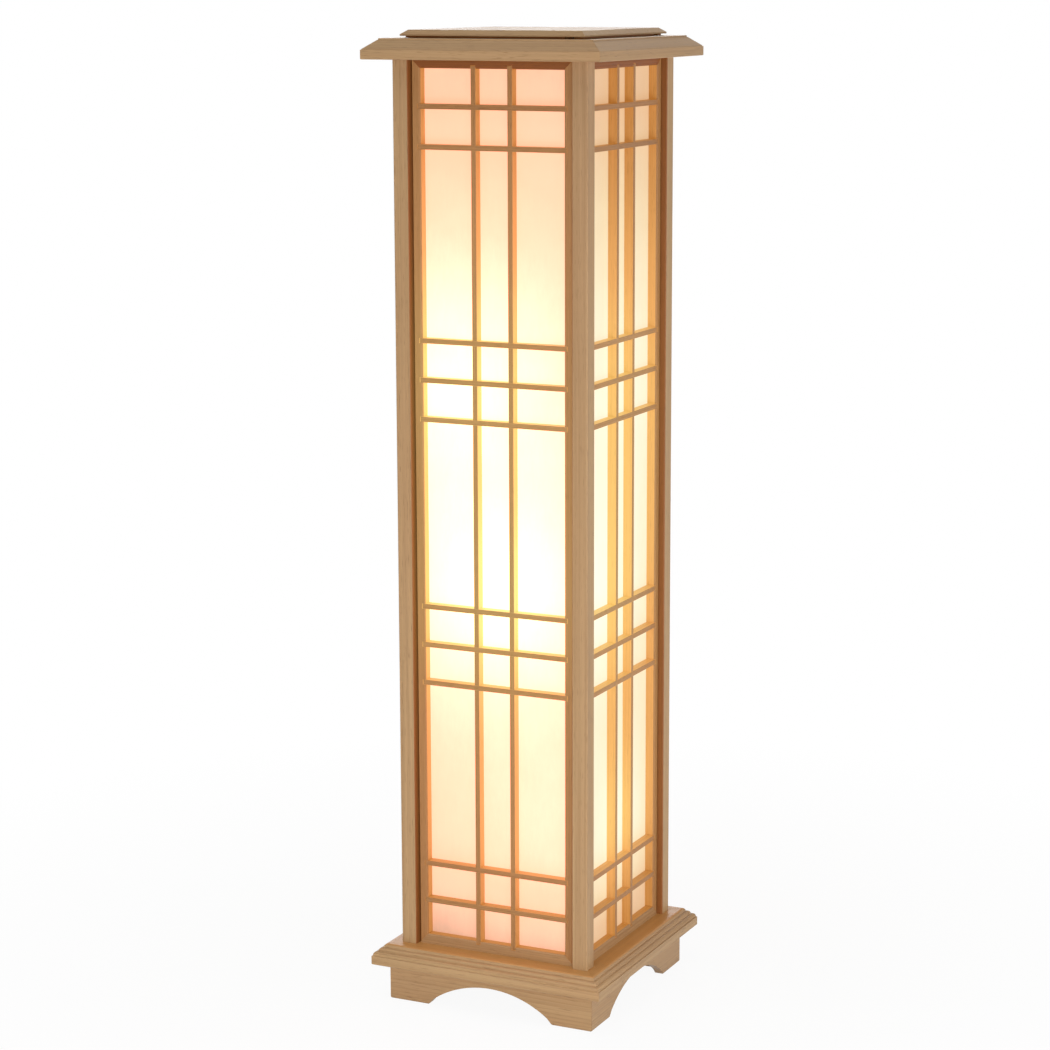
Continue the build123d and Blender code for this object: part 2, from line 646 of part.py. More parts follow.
# ---- the lamp -----------------------------------------------------------------------------------
def save_sides():
    """The foot, base, posts, screens and eaves, on all four sides."""
    pieces = {
        "apron": [apron()],
        "base_moulding": [base_moulding()],
        "roof_moulding": [roof_moulding()],
        "screen_frame": screen_frame(),
        "lattice_uprights": lattice_uprights(),
        "lattice_rails": lattice_rails(),
        "diffuser": [diffuser()],
        "retaining_beads": retaining_beads(),
    }
    corner_post = post()
    for side, corner in zip(SIDES, CORNERS):
        save(f"post_{corner}", turned(corner_post, side))
        for name, solids in pieces.items():
            save(f"{name}_{side}", *[turned(solid, side) for solid in solids])


def save_lights():
    """The batten's lampholders, wiring and bulbs, and all the screws."""
    brackets = []
    holders = []
    contacts = []
    screws = board_screws()
    for name, angle, foot in LIGHTS:
        turn = Rot(0, 0, angle)
        brackets.append(turn * bracket(foot))
        holders.append(turn * lampholder(foot))
        contacts += [turn * piece for piece in lamp_contacts(foot)]
        screws += [turn * screw for screw in bracket_screws(foot)]
        save(f"bulb_tip_{name}", turn * bulb_tip(foot))
        save(f"bulb_cap_{name}", turn * bulb_cap(foot))
        save(f"bulb_glass_{name}", turn * bulb_glass(foot))
    save("holder_brackets", *brackets)
    save("lampholders", *holders)
    save("lamp_contacts", *contacts)
    save("wood_screws", *screws)


def main():
    """Builds every node of the lamp."""
    os.makedirs("parts", exist_ok=True)
    save_sides()
    save("glue_blocks", *glue_blocks())
    save("bottom_board", bottom_board())
    save("grommet", grommet())
    save("lid_board", lid_board())
    save("neck_battens", *neck_battens())
    save("lid_battens", *lid_battens())
    save("light_batten", light_batten())
    save("foot_blocks", *foot_blocks())
    save("terminal_block", terminal_block())
    save("inner_leads", *inner_leads())
    save("lead_clips", *lead_clips())
    save_lights()


main()
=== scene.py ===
"""Looks of an andon floor lamp: pale straight-grained wood, lit lattice screens, and fittings inside.

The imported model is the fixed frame. Each sub-assembly is a class that makes its meshes and dresses them.
All lengths are metres, +Z is up, and the front screen faces -Y.
"""

import logging
import math
import random
from dataclasses import dataclass, field
from enum import Enum
from typing import Callable, Iterable, Optional, Sequence

import bmesh
import bpy
from mathutils import Matrix, Vector


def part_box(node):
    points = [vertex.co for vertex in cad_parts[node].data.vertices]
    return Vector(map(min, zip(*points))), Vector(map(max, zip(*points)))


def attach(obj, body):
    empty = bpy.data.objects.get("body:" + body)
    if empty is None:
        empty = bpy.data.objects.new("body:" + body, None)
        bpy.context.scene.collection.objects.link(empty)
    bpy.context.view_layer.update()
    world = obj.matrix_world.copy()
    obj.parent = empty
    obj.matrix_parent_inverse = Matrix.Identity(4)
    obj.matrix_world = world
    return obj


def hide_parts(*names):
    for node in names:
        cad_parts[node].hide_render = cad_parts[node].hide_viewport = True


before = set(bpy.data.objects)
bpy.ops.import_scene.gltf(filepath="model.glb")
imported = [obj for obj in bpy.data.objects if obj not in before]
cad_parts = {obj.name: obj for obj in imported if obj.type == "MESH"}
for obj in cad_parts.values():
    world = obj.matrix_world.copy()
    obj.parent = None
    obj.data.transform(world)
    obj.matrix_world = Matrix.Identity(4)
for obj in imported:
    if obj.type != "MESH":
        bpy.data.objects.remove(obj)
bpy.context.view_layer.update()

log = logging.getLogger("andon")

Colour = tuple[float, float, float]
Point = tuple[float, float, float]

Shade = tuple[float, float]
Shading = Callable[[bmesh.types.BMFace], Shade]

CORNERS = ("front_left", "front_right", "back_right", "back_left")

# meshes
MERGE = 1e-6
UNDER_SKIN = 0.0002
FLAT_WITHIN = math.radians(0.5)
SHARP_EDGE = math.radians(28)
SMOOTH_WITHIN = math.radians(32)
ARRIS_FACETS = 2

# sticks of wood: where along its log each was cut, and how light it is
PLACES_ALONG = (-3.0, 3.0)
STICK_TONES = (0.965, 1.03)

# places and turns that settle which painted light and shade a face takes
MIDDLE_OF_SCREENS = Vector((0.0, 0.0, 0.517))
UNDER_EAVES = 0.962
ABOVE_BASE = 0.075
LEDGE_FROM = 0.057
FACING = 0.5
LYING_FLAT = 0.7

# painted shades: how much painted light from the lit sheet a face takes, and how much painted shade darkens
# it in a recess
OPEN_SHADE: Shade = (0.0, 0.0)
LIT_SHADE: Shade = (1.0, 0.0)
FRONT_SHADE: Shade = (0.6, 0.4)
LIT_LEDGE: Shade = (0.75, 0.0)
RECESS_SHADE: Shade = (0.45, 0.92)
EAVE_SHADE: Shade = (0.45, 1.0)
SILL_SHADE: Shade = (0.3, 0.06)


class Side(Enum):
    """The lamp's four sides, in turn from the front."""

    FRONT = "front"
    RIGHT = "right"
    BACK = "back"
    LEFT = "left"


class Storey(Enum):
    """The three lights, from the top down."""

    UPPER = "upper"
    MIDDLE = "middle"
    LOWER = "lower"


class Body(Enum):
    """The bodies that wooden pieces ride on."""

    CABINET = "cabinet"
    LID = "lid"


class Cut(Enum):
    """How a stick was sawn from the log, by how far from the pith: the nearest and farthest, in metres."""

    QUARTER = (0.30, 0.60)
    RIFT = (0.10, 0.20)
    FLAT = (0.045, 0.08)


def srgb(red: int, green: int, blue: int) -> Colour:
    """Turns a screen colour into the linear one that shaders use.

    Args:
        red: 0 to 255.
        green: 0 to 255.
        blue: 0 to 255.

    Returns:
        The three linear values, 0 to 1.
    """
    def linear(level: int) -> float:
        """One channel's linear value."""
        share = level / 255.0
        return share / 12.92 if share <= 0.04045 else ((share + 0.055) / 1.055) ** 2.4

    return linear(red), linear(green), linear(blue)


# ---- shader graphs ------------------------------------------------------------------------------
class Graph:
    """A material's node tree, with short calls that add nodes and join them."""

    def __init__(self, name: str) -> None:
        """Starts an empty node tree with an output.

        Args:
            name: the material's name.
        """
        self.material = bpy.data.materials.new(name)
        self.material.use_nodes = True
        self.tree = self.material.node_tree
        self.tree.nodes.clear()
        self.output = self.tree.nodes.new("ShaderNodeOutputMaterial")

    def add(self, kind: str, **settings: object) -> bpy.types.Node:
        """Adds a node and sets its properties.

        Args:
            kind: Blender's node type.
            settings: properties of the node.

        Returns:
            The node.
        """
        node = self.tree.nodes.new(kind)
        for key, value in settings.items():
            setattr(node, key, value)
        return node

    def feed(self, target: bpy.types.NodeSocket, value: object) -> None:
        """Links a socket to an input, or sets the input's own value.

        Args:
            target: the input.
            value: a socket, or a number or colour.
        """
        if isinstance(value, bpy.types.NodeSocket):
            self.tree.links.new(value, target)
        else:
            target.default_value = value

    def math(self, operation: str, first: object, second: object = 0.0,
             clamp: bool = False) -> bpy.types.NodeSocket:
        """Adds a Math node.

        Args:
            operation: Blender's name of the operation.
            first: a socket or a number.
            second: a socket or a number.
            clamp: keeps the result from 0 to 1.

        Returns:
            The result's socket.
        """
        node = self.add("ShaderNodeMath", operation=operation, use_clamp=clamp)
        self.feed(node.inputs[0], first)
        self.feed(node.inputs[1], second)
        return node.outputs[0]

    def vector(self, operation: str, first: object, second: object = (0.0, 0.0, 0.0)) -> bpy.types.Node:
        """Adds a Vector Math node.

        Args:
            operation: Blender's name of the operation.
            first: a socket or three numbers.
            second: a socket or three numbers.

        Returns:
            The node, whose result is a vector or a value.
        """
        node = self.add("ShaderNodeVectorMath", operation=operation)
        self.feed(node.inputs[0], first)
        self.feed(node.inputs[1], second)
        return node

    def noise(self, place: object, scale: float, detail: float = 2.0,
              rough: float = 0.5) -> bpy.types.NodeSocket:
        """Adds a Noise texture.

        Args:
            place: the socket of the coordinates.
            scale: features per unit of those coordinates.
            detail: octaves.
            rough: how strong the fine octaves are.

        Returns:
            The socket of the noise value.
        """
        node = self.add("ShaderNodeTexNoise")
        self.feed(node.inputs["Vector"], place)
        node.inputs["Scale"].default_value = scale
        node.inputs["Detail"].default_value = detail
        node.inputs["Roughness"].default_value = rough
        return node.outputs["Fac"]

    def ramp(self, value: object, stops: Sequence[tuple[float, Colour]]) -> bpy.types.NodeSocket:
        """Adds a colour ramp.

        Args:
            value: the socket that picks the place on the ramp.
            stops: places from 0 to 1 and their linear colours.

        Returns:
            The colour's socket.
        """
        node = self.add("ShaderNodeValToRGB")
        line = node.color_ramp
        while len(line.elements) < len(stops):
            line.elements.new(0.5)
        for element, (place, colour) in zip(line.elements, stops):
            element.position = place
            element.color = (*colour, 1.0)
        self.feed(node.inputs["Fac"], value)
        return node.outputs["Color"]

    def spread(self, value: object, low: float, high: float, to_low: float,
               to_high: float) -> bpy.types.NodeSocket:
        """Maps a value from one range to another, held at the ends.

        Args:
            value: the socket to map.
            low: the value that gives to_low.
            high: the value that gives to_high.
            to_low: one end of the new range.
            to_high: the other end.

        Returns:
            The mapped value's socket.
        """
        node = self.add("ShaderNodeMapRange")
        self.feed(node.inputs["Value"], value)
        for name, number in (("From Min", low), ("From Max", high), ("To Min", to_low), ("To Max", to_high)):
            node.inputs[name].default_value = number
        return node.outputs["Result"]

    def mix(self, share: object, first: object, second: object, how: str = "MIX") -> bpy.types.NodeSocket:
        """Mixes two colours.

        Args:
            share: a socket or number, 0 for the first and 1 for the second.
            first: a colour or its socket.
            second: a colour or its socket.
            how: Blender's blend type.

        Returns:
            The mixed colour's socket.
        """
        node = self.add("ShaderNodeMix", data_type="RGBA", blend_type=how)
        self.feed(node.inputs["Factor"], share)
        for socket, value in ((node.inputs[6], first), (node.inputs[7], second)):
            self.feed(socket, value if isinstance(value, bpy.types.NodeSocket) else (*value, 1.0))
        return node.outputs[2]

    def bump(self, height: object, strength: float, distance: float) -> bpy.types.NodeSocket:
        """Adds a Bump node.

        Args:
            height: the socket of the relief.
            strength: 0 to 1.
            distance: how deep a relief of 1 is, in metres.

        Returns:
            The normal's socket.
        """
        node = self.add("ShaderNodeBump")
        node.inputs["Strength"].default_value = strength
        node.inputs["Distance"].default_value = distance
        self.feed(node.inputs["Height"], height)
        return node.outputs["Normal"]

    def shader(self, **sockets: object) -> bpy.types.Node:
        """Adds the Principled shader and joins it to the output.

        Args:
            sockets: input names, with _ for a space, and their values or sockets.

        Returns:
            The shader node.
        """
        node = self.add("ShaderNodeBsdfPrincipled")
        for name, value in sockets.items():
            self.feed(node.inputs[name.replace("_", " ")], value)
        self.tree.links.new(node.outputs["BSDF"], self.output.inputs["Surface"])
        return node


# ---- finishes -----------------------------------------------------------------------------------
@dataclass(frozen=True)
class LampLight:
    """The light of the three bulbs, as it falls on the sheets, and as painted light on the wood beside them.
    """

    bulbs: tuple[tuple[Point, float], ...] = (((-0.044, 0.0, 0.650), 1.516), ((0.0, -0.044, 0.440), 0.968),
                                              ((0.044, 0.0, 0.190), 0.444))
    reach: float = 0.15
    softness: float = 0.192
    log_range: tuple[float, float] = (-1.53, 1.343)
    foot_shade: tuple[float, float] = (0.07, 0.17)
    foot_share: float = 0.5

    def level(self, g: Graph, place: object) -> bpy.types.NodeSocket:
        """Adds up the bulbs by their power and distance, on a log scale as an eye takes it.

        Args:
            g: the material's nodes.
            place: the socket of the point's coordinates.

        Returns:
            The level's socket, 0 for dim and 1 for bright.
        """
        total: object = 0.0
        for centre, power in self.bulbs:
            away = g.vector("DISTANCE", place, centre).outputs["Value"]
            near = g.math("POWER", g.math("DIVIDE", away, self.reach), 2.0)
            total = g.math("ADD", total, g.math("DIVIDE", power, g.math("ADD", near, self.softness)))
        height = g.add("ShaderNodeSeparateXYZ")
        g.feed(height.inputs[0], place)
        at_foot = g.spread(height.outputs["Z"], *self.foot_shade, self.foot_share, 1.0)
        total = g.math("MULTIPLY", total, at_foot)
        return g.spread(g.math("LOGARITHM", total, math.e), *self.log_range, 0.0, 1.0)


@dataclass(frozen=True)
class Finish:
    """A surface finish: the record's slot that it belongs to, and how its material is made."""

    name: str
    slot: str

    def make(self) -> bpy.types.Material:
        """Makes the material; each finish has its own way."""
        raise NotImplementedError

    def material(self) -> bpy.types.Material:
        """The finish's one material, made at its first use."""
        found = bpy.data.materials.get(self.name)
        return found if found else self.make()


@dataclass(frozen=True)
class PaleWood(Finish):
    """Clear-lacquered pale wood. Its pattern follows the grain coordinates stored on the mesh.

    The mesh also stores how much painted light from the lit sheet each face takes, as a warm tint and a glow,
    and how much painted shade darkens it where it lies in a recess or under the eaves.
    """

    early: Colour = srgb(183, 150, 108)
    rosy: Colour = srgb(178, 141, 101)
    late: Colour = srgb(146, 108, 70)
    pore: Colour = srgb(120, 84, 50)
    # painted light of the lit sheet, and painted shade of recesses and eaves: tints multiplied into the
    # figure
    painted_light_tint: Colour = (0.88, 0.73, 0.51)
    painted_shade_tint: Colour = (0.56, 0.30, 0.13)
    # painted glow: the wood's own emission, standing for the sheet's light that falls on it
    glow: tuple[tuple[float, Colour], ...] = ((0.25, (0.35, 0.14, 0.02)), (0.40, (0.43, 0.19, 0.045)),
                                              (0.60, (0.68, 0.33, 0.09)), (0.87, (0.95, 0.72, 0.19)),
                                              (0.95, (1.0, 0.84, 0.26)))
    painted_glow_strength: float = 0.65
    painted_glow_fade: float = 3.0
    light: LampLight = LampLight()
    ring_gap: float = 0.0022
    ring_profile: tuple[tuple[float, float], ...] = ((0.0, 0.0), (0.50, 0.12), (0.82, 0.75), (0.92, 1.0),
                                                     (1.0, 0.0))
    ring_share: float = 0.36
    streak_share: float = 0.32
    drift: float = 0.0034
    slow_scale: Point = (1.6, 14.0, 14.0)
    fibre_scale: Point = (9.0, 900.0, 900.0)
    streak_scale: Point = (3.0, 240.0, 240.0)
    pore_scale: Point = (70.0, 1500.0, 1500.0)
    roughness: float = 0.47
    relief: tuple[float, float] = (0.18, 0.0002)
    gloss: float = 0.3
    lacquer: tuple[float, float] = (0.05, 0.35)

    def figure(self, g: Graph) -> tuple[bpy.types.NodeSocket, bpy.types.NodeSocket]:
        """The drawing of the wood: growth rings, streaks, pores and fine fibres.

        Args:
            g: the material's nodes.

        Returns:
            The sockets of the colour, and of the relief.
        """
        grain = g.add("ShaderNodeAttribute", attribute_name="grain").outputs["Vector"]
        slow = g.vector("MULTIPLY", grain, self.slow_scale).outputs[0]
        wander = g.math("MULTIPLY", g.math("SUBTRACT", g.noise(slow, 1.0, 2.0), 0.5), self.drift * 2)
        across = g.vector("MULTIPLY", grain, (0.0, 1.0, 1.0)).outputs[0]
        radius = g.math("ADD", g.vector("LENGTH", across).outputs["Value"], wander)
        phase = g.math("FRACT", g.math("DIVIDE", radius, self.ring_gap))
        ring = g.ramp(phase, [(place, (height,) * 3) for place, height in self.ring_profile])
        ring = g.math("MULTIPLY", ring, g.spread(g.noise(slow, 2.3, 1.0), 0.3, 0.7, 0.15, 1.0))
        fibre = g.noise(g.vector("MULTIPLY", grain, self.fibre_scale).outputs[0], 1.0, 3.0, 0.6)
        streak = g.noise(g.vector("MULTIPLY", grain, self.streak_scale).outputs[0], 1.0, 2.0, 0.5)
        dash = g.noise(g.vector("MULTIPLY", grain, self.pore_scale).outputs[0], 1.0, 1.0, 0.5)
        body = g.mix(g.spread(g.noise(slow, 0.8, 2.0), 0.35, 0.65, 0.0, 1.0), self.early, self.rosy)
        share = g.math("ADD", g.math("MULTIPLY", ring, self.ring_share),
                       g.spread(streak, 0.35, 0.7, 0.0, self.streak_share), clamp=True)
        colour = g.mix(share, body, self.late)
        colour = g.mix(g.spread(dash, 0.62, 0.74, 0.0, 0.55), colour, self.pore)
        tone = g.math("MULTIPLY", g.spread(fibre, 0.3, 0.7, 0.93, 1.06),
                      g.add("ShaderNodeAttribute", attribute_name="tone").outputs["Fac"])
        grey = g.add("ShaderNodeCombineColor")
        for socket in grey.inputs:
            g.feed(socket, tone)
        relief = g.math("SUBTRACT", g.math("ADD", g.math("MULTIPLY", ring, 0.5), fibre),
                        g.spread(dash, 0.62, 0.74, 0.0, 0.8))
        return g.mix(1.0, colour, grey.outputs[0], "MULTIPLY"), relief

    def make(self) -> bpy.types.Material:
        """Paints the sheet's light into the figure as a warm tint and a glow, and paints shade into recesses.

        Returns:
            The wood's material.
        """
        g = Graph(self.name)
        colour, relief = self.figure(g)
        painted_sheet_light = g.add("ShaderNodeAttribute", attribute_name="painted_sheet_light").outputs["Fac"]
        painted_shade = g.add("ShaderNodeAttribute", attribute_name="painted_shade").outputs["Fac"]
        # painted light of the sheet as a warm tint, then painted shade where a face lies in a recess
        colour = g.mix(painted_sheet_light, colour, g.mix(1.0, colour, self.painted_light_tint, "MULTIPLY"))
        colour = g.mix(painted_shade, colour, g.mix(1.0, colour, self.painted_shade_tint, "MULTIPLY"))
        rough = g.spread(relief, 0.2, 1.0, self.roughness - 0.06, self.roughness + 0.1)
        level = self.light.level(g, g.add("ShaderNodeTexCoord").outputs["Object"])
        # painted glow: the wood emits light by the bulbs' level where its painted light is strong
        strength = g.math("MULTIPLY", g.math("POWER", painted_sheet_light, self.painted_glow_fade), self.painted_glow_strength)
        coat, coat_rough = self.lacquer
        g.shader(Base_Color=colour, Roughness=rough, Normal=g.bump(relief, *self.relief),
                 Specular_IOR_Level=self.gloss, Coat_Weight=coat, Coat_Roughness=coat_rough,
                 Emission_Color=g.ramp(level, self.glow), Emission_Strength=strength)
        return g.material


@dataclass(frozen=True)
class LampSheet(Finish):
    """Translucent sheet lit from behind: white by the bulbs, pink-orange at the head and foot."""

    light: LampLight = LampLight()
    strengths: tuple[float, float] = (0.43, 3.03)
    glow: tuple[tuple[float, Colour], ...] = ((0.22, (1.0, 0.445, 0.265)), (0.42, (1.0, 0.342, 0.198)),
                                              (0.57, (1.0, 0.330, 0.202)), (0.72, (1.0, 0.360, 0.240)),
                                              (0.87, (1.0, 0.465, 0.275)), (0.95, (1.0, 0.620, 0.300)))
    unlit: tuple[Colour, Colour] = ((0.24, 0.20, 0.155), (0.26, 0.22, 0.175))
    roughness: float = 0.55
    fibre_share: float = 0.014
    cloud_share: float = 0.01

    def make(self) -> bpy.types.Material:
        """Turns the bulbs' light at each point into colour and strength, uneven by its fibres and clouds.

        Returns:
            The lit sheet's material.
        """
        g = Graph(self.name)
        place = g.add("ShaderNodeTexCoord").outputs["Object"]
        fibres = g.noise(g.vector("MULTIPLY", place, (260.0, 260.0, 60.0)).outputs[0], 1.0, 4.0, 0.7)
        cloud = g.noise(place, 30.0, 2.0)
        uneven = g.math("ADD", g.spread(fibres, 0.3, 0.7, -self.fibre_share, self.fibre_share),
                        g.spread(cloud, 0.3, 0.7, -self.cloud_share, self.cloud_share))
        share = g.math("ADD", self.light.level(g, place), uneven)
        g.shader(Base_Color=g.mix(cloud, *self.unlit), Roughness=self.roughness,
                 Emission_Color=g.ramp(share, self.glow),
                 Emission_Strength=g.spread(share, 0.0, 1.0, *self.strengths))
        return g.material


@dataclass(frozen=True)
class Metal(Finish):
    """A plain metal with drawn streaks, stains and handling marks."""

    colour: Colour = (0.6, 0.6, 0.6)
    stain: Colour = (0.4, 0.4, 0.4)
    roughness: float = 0.3
    streaks: Point = (40.0, 40.0, 900.0)

    def make(self) -> bpy.types.Material:
        """Mixes the clean metal with its stain and varies the roughness.

        Returns:
            The metal's material.
        """
        g = Graph(self.name)
        place = g.add("ShaderNodeTexCoord").outputs["Object"]
        lines = g.noise(g.vector("MULTIPLY", place, self.streaks).outputs[0], 1.0, 3.0, 0.6)
        blots = g.noise(place, 180.0, 3.0, 0.6)
        colour = g.mix(g.spread(blots, 0.45, 0.75, 0.0, 0.6), self.colour, self.stain)
        rough = g.spread(lines, 0.3, 0.7, self.roughness - 0.07, self.roughness + 0.1)
        g.shader(Base_Color=colour, Metallic=1.0, Roughness=rough, Normal=g.bump(lines, 0.08, 0.0001))
        return g.material


@dataclass(frozen=True)
class Moulded(Finish):
    """Moulded, glazed or rubber surface: one colour with faint clouds, fine texture and its own gloss."""

    colour: Colour = (0.8, 0.8, 0.8)
    shade: Colour = (0.7, 0.7, 0.7)
    roughness: float = 0.4
    coat: float = 0.0
    texture: float = 900.0

    def make(self) -> bpy.types.Material:
        """Clouds in the colour, and a fine skin in roughness and relief.

        Returns:
            The moulding's material.
        """
        g = Graph(self.name)
        place = g.add("ShaderNodeTexCoord").outputs["Object"]
        skin = g.noise(place, self.texture, 2.0, 0.6)
        cloud = g.noise(place, 70.0, 3.0, 0.55)
        colour = g.mix(g.spread(cloud, 0.35, 0.7, 0.0, 1.0), self.colour, self.shade)
        rough = g.spread(skin, 0.3, 0.7, self.roughness - 0.05, self.roughness + 0.06)
        g.shader(Base_Color=colour, Roughness=rough, Normal=g.bump(skin, 0.06, 0.0001), Coat_Weight=self.coat,
                 Coat_Roughness=0.08)
        return g.material


@dataclass(frozen=True)
class FrostedGlass(Finish):
    """Inside-frosted bulb glass, glowing warm, and dimmer where the frost is thick."""

    glow: Colour = (1.0, 0.72, 0.42)
    strength: float = 1.4

    def make(self) -> bpy.types.Material:
        """A glossy skin over an uneven glow.

        Returns:
            The glass's material.
        """
        g = Graph(self.name)
        place = g.add("ShaderNodeTexCoord").outputs["Object"]
        frost = g.noise(place, 420.0, 3.0, 0.6)
        strength = g.spread(frost, 0.3, 0.7, self.strength * 0.9, self.strength * 1.05)
        g.shader(Base_Color=g.mix(frost, srgb(244, 238, 226), srgb(252, 248, 240)), Roughness=0.22,
                 Coat_Weight=0.5, Coat_Roughness=0.05, Emission_Color=(*self.glow, 1.0),
                 Emission_Strength=strength)
        return g.material


WOOD = PaleWood("pale_wood_lacquered", "pale_wood")
SHEET = LampSheet("lit_diffuser_sheet", "diffuser_sheet")
# painted shade: a dimmer, yellower copy of the lit sheet for the left and right panes
SIDE_SHEET = LampSheet("lit_diffuser_sheet_side", "diffuser_sheet", strengths=(0.50, 0.90),
                       glow=((0.25, (1.0, 0.60, 0.30)), (0.45, (1.0, 0.78, 0.45)), (0.60, (1.0, 0.87, 0.57)),
                             (0.80, (1.0, 0.97, 0.76)), (0.95, (1.0, 0.99, 0.93))))
BRASS = Metal("stamped_brass", "brass", srgb(206, 172, 104), srgb(150, 112, 58), 0.27)
ZINC = Metal("zinc_plated_steel", "steel", srgb(190, 192, 194), srgb(158, 156, 150), 0.36)
CAP_METAL = Metal("rolled_cap_aluminium", "cap_aluminium", srgb(222, 222, 220), srgb(186, 184, 180), 0.24)
PORCELAIN = Moulded("white_glaze", "porcelain", srgb(240, 238, 231), srgb(231, 227, 217), 0.16, 0.6, 300.0)
RUBBER = Moulded("black_rubber_skin", "black_rubber", srgb(38, 38, 39), srgb(52, 51, 50), 0.62, 0.0, 1400.0)
WHITE_PLASTIC = Moulded("white_satin_moulding", "white_moulding", srgb(228, 227, 221), srgb(216, 214, 206),
                        0.38)
LEAD_SHEATH = Moulded("soft_lead_sheath", "lead_sheath", srgb(226, 225, 218), srgb(210, 207, 198), 0.45)
GLASS = FrostedGlass("frosted_bulb_glass", "bulb_glass")


# ---- mesh helpers -------------------------------------------------------------------------------
def new_object(name: str, mesh: bpy.types.Mesh, finish: Finish, body: str) -> bpy.types.Object:
    """Links a mesh into the scene as a piece that rides on a body.

    Args:
        name: the piece's name.
        mesh: its mesh, in the row frame.
        finish: what it is dressed in.
        body: the body that it moves with.

    Returns:
        The new object.
    """
    piece = bpy.data.objects.new(name, mesh)
    bpy.context.scene.collection.objects.link(piece)
    mesh.materials.clear()
    mesh.materials.append(finish.material())
    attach(piece, body)
    return piece


def dress(node: str, finish: Finish) -> bpy.types.Object:
    """Gives a carried-over node its finish.

    Args:
        node: the CAD node.
        finish: what it is dressed in.

    Returns:
        The node's own object.
    """
    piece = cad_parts[node]
    piece.data.materials.clear()
    piece.data.materials.append(finish.material())
    return piece


def smooth_by_angle(mesh: bpy.types.Mesh) -> None:
    """Shades a mesh smooth, but keeps its sharper edges."""
    mesh.polygons.foreach_set("use_smooth", [True] * len(mesh.polygons))
    mesh.set_sharp_from_angle(angle=SMOOTH_WITHIN)


def solids_of(shape: bmesh.types.BMesh) -> list[list[bmesh.types.BMVert]]:
    """Sorts a mesh's vertices into its separate solids.

    Args:
        shape: the mesh.

    Returns:
        One list of vertices for each solid.
    """
    seen: set[int] = set()
    found = []
    shape.verts.ensure_lookup_table()
    for start in shape.verts:
        if start.index in seen:
            continue
        group = [start]
        seen.add(start.index)
        for vert in group:
            for edge in vert.link_edges:
                other = edge.other_vert(vert)
                if other.index not in seen:
                    seen.add(other.index)
                    group.append(other)
        found.append(group)
    return found


def store_grain(shape: bmesh.types.BMesh, seed: str, cut: Cut) -> None:
    """Stores, on every vertex, where it lies in its own stick of wood, and the stick's tone.

    The first coordinate runs along the longest side of the solid, and the other two are measured from a
    pith that lies outside the stick, so that each stick has its own straight grain.

    Args:
        shape: the mesh, which may hold several solids.
        seed: text that settles the random places.
        cut: how the sticks were sawn.
    """
    draw = random.Random(seed)
    grain = shape.verts.layers.float_vector.new("grain")
    tone = shape.verts.layers.float.new("tone")
    for group in solids_of(shape):
        low = Vector(min(v.co[axis] for v in group) for axis in range(3))
        high = Vector(max(v.co[axis] for v in group) for axis in range(3))
        long_axis = max(range(3), key=lambda axis: (high[axis] - low[axis], -axis))
        others = [axis for axis in range(3) if axis != long_axis]
        turn = draw.uniform(0.0, 2 * math.pi)
        pith = draw.uniform(*cut.value)
        shift = (draw.uniform(*PLACES_ALONG), pith * math.cos(turn), pith * math.sin(turn))
        stick_tone = draw.uniform(*STICK_TONES)
        for vert in group:
            place = vert.co - (low + high) / 2
            vert[grain] = Vector((place[long_axis] + shift[0], place[others[0]] + shift[1],
                                  place[others[1]] + shift[2]))
            vert[tone] = stick_tone


def outward(place: Vector) -> Vector:
    """The level direction from the lamp's axis to the side that a point is on."""
    if abs(place.x) > abs(place.y):
        return Vector((math.copysign(1.0, place.x), 0.0, 0.0))
    return Vector((0.0, math.copysign(1.0, place.y), 0.0))


def plain_shade(face: bmesh.types.BMFace) -> Shade:
    """The shade of wood that stands in the open."""
    return OPEN_SHADE


def base_shade(face: bmesh.types.BMFace) -> Shade:
    """Base mouldings: painted light on the flat top, where the light of the lowest panes falls."""
    on_top = face.normal.z > LYING_FLAT and face.calc_center_median().z > LEDGE_FROM
    return LIT_LEDGE if on_top else OPEN_SHADE


def lattice_shade(face: bmesh.types.BMFace) -> Shade:
    """Lattice bars: full painted light on the faces beside the panes, and in front less of it, with some
    painted shade.
    """
    facing = max(face.normal.dot(outward(face.calc_center_median())), 0.0)
    painted_sheet_light, painted_shade = FRONT_SHADE
    return 1.0 - (1.0 - painted_sheet_light) * facing, painted_shade * facing


def frame_shade(face: bmesh.types.BMFace) -> Shade:
    """Screen frames: painted light round the opening, painted shade along the outer edge and under the eaves.

    Args:
        face: a face of the frame.

    Returns:
        Its painted light and its painted shade.
    """
    centre = face.calc_center_median()
    out = outward(centre)
    facing = max(face.normal.dot(out), 0.0)
    inward = face.normal.dot((MIDDLE_OF_SCREENS + out * centre.dot(out) - centre).normalized())
    if facing > FACING:
        if centre.z > UNDER_EAVES:
            return EAVE_SHADE
        return SILL_SHADE if centre.z < ABOVE_BASE else FRONT_SHADE
    return LIT_SHADE if inward > 0.0 else RECESS_SHADE


def post_shade(face: bmesh.types.BMFace) -> Shade:
    """Posts: painted shade, with some painted light, on the two faces that look towards the screens."""
    centre = face.calc_center_median()
    towards = max(-face.normal.x * math.copysign(1.0, centre.x),
                  -face.normal.y * math.copysign(1.0, centre.y))
    return RECESS_SHADE if towards > FACING else OPEN_SHADE


def neck_shade(face: bmesh.types.BMFace) -> Shade:
    """Neck strips under the lid: painted shade, with some painted light, all over, as in a recess."""
    return RECESS_SHADE


